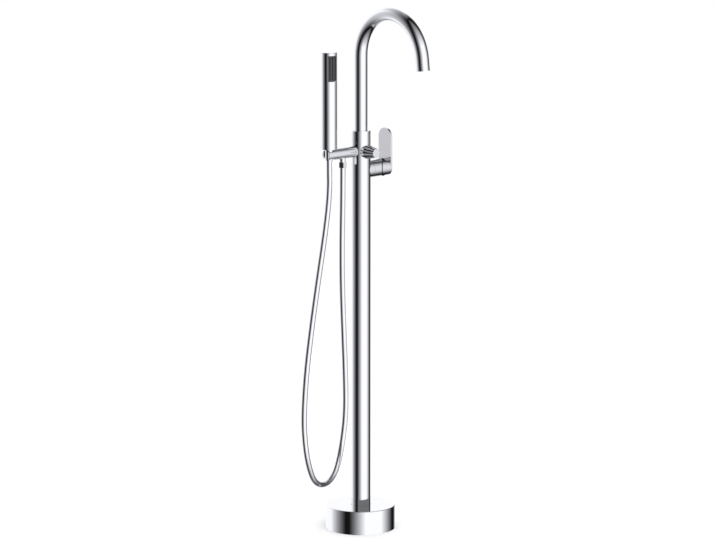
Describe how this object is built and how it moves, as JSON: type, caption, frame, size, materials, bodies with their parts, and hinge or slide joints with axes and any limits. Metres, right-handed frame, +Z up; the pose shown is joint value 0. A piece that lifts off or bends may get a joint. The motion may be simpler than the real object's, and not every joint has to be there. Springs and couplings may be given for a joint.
{
  "type": "floor standing bath filler",
  "caption": "Freestanding bath mixer tap with gooseneck spout, side lever, diverter knob and stick hand shower on a hose.",
  "frame": {"origin": "centre of the floor bolt circle, where the column's axis meets the floor", "axes": "+Z up the column; the spout and the diverter knob point to -Y, the shower arm to -X and the lever to +X"},
  "size_m": [0.2839, 0.2921, 1.1664],
  "materials": {
    "polished_chrome": "mirror polished chrome plate on brass",
    "hose_skin": "smooth silver sleeve over the inner hose",
    "steel_plate": "turned and brushed stainless steel",
    "cast_brass": "machined cast brass",
    "copper_pipe": "drawn copper pipe",
    "spray_grey": "dark grey moulded plate with soft nozzles",
    "black_rubber": "black sealing rubber",
    "white_plastic": "white moulded plastic",
    "valve_stem": "ground stainless steel stem"
  },
  "bodies": {
    "stand": {"floor_flange": "steel_plate", "column_clamp_screws": "steel_plate", "base_cover": "polished_chrome", "base_cover_seal": "black_rubber", "column_tube": "polished_chrome", "column_cap": "polished_chrome", "mixer_body": "cast_brass", "hot_supply_pipe": "copper_pipe", "cold_supply_pipe": "copper_pipe", "hot_inlet_nut": "cast_brass", "cold_inlet_nut": "cast_brass", "shower_arm": "polished_chrome", "holder_liner": "white_plastic", "hose_outlet_nipple": "polished_chrome", "shower_check_valve": "white_plastic", "outlet_washer": "black_rubber", "hose_outlet_nut": "polished_chrome", "shower_hose": "hose_skin", "diverter_collar": "polished_chrome", "diverter_cartridge": "white_plastic", "valve_neck": "polished_chrome", "mixing_cartridge": "white_plastic", "cartridge_nut": "steel_plate", "spout_lock_screw": "steel_plate"},
    "spout": {"spout_tube": "polished_chrome", "spout_spigot": "cast_brass", "spout_o_rings": "black_rubber", "aerator_housing": "polished_chrome", "aerator_insert": "white_plastic"},
    "temperature_sleeve": {"temperature_sleeve": "polished_chrome"},
    "lever": {"lever_handle": "polished_chrome", "cartridge_stem": "valve_stem", "lever_screw": "steel_plate"},
    "knob": {"diverter_knob": "polished_chrome", "diverter_stem": "valve_stem", "knob_screw": "steel_plate"},
    "hose_cone": {"hose_cone": "polished_chrome", "cone_washer": "black_rubber"},
    "handset": {"handset_tube": "polished_chrome", "handset_inlet": "cast_brass", "handset_waterway": "white_plastic", "spray_chamber": "white_plastic", "spray_plate": "spray_grey"}
  },
  "joints": [
    {"name": "spout_swivel", "type": "hinge", "parent": "stand", "child": "spout", "pos_m": [0, 0, 0.87], "axis": [0, 0, 1], "range_deg": [-90, 90]},
    {"name": "temperature_turn", "type": "hinge", "parent": "stand", "child": "temperature_sleeve", "pos_m": [0.04, 0, 0.801], "axis": [1, 0, 0], "range_deg": [-45, 45]},
    {"name": "lever_tilt", "type": "hinge", "parent": "temperature_sleeve", "child": "lever", "pos_m": [0.0658, 0, 0.801], "axis": [0, 1, 0], "range_deg": [0, 25]},
    {"name": "diverter_turn", "type": "hinge", "parent": "stand", "child": "knob", "pos_m": [0, -0.03, 0.8437], "axis": [0, -1, 0], "range_deg": [0, 90]},
    {"name": "handset_lift", "type": "slide", "parent": "stand", "child": "hose_cone", "axis": [0, 0, 1], "range_m": [0, 0.05]},
    {"name": "handset_swivel", "type": "hinge", "parent": "hose_cone", "child": "handset", "pos_m": [-0.091, 0, 0.85], "axis": [0, 0, 1], "range_deg": [-90, 90]}
  ]
}
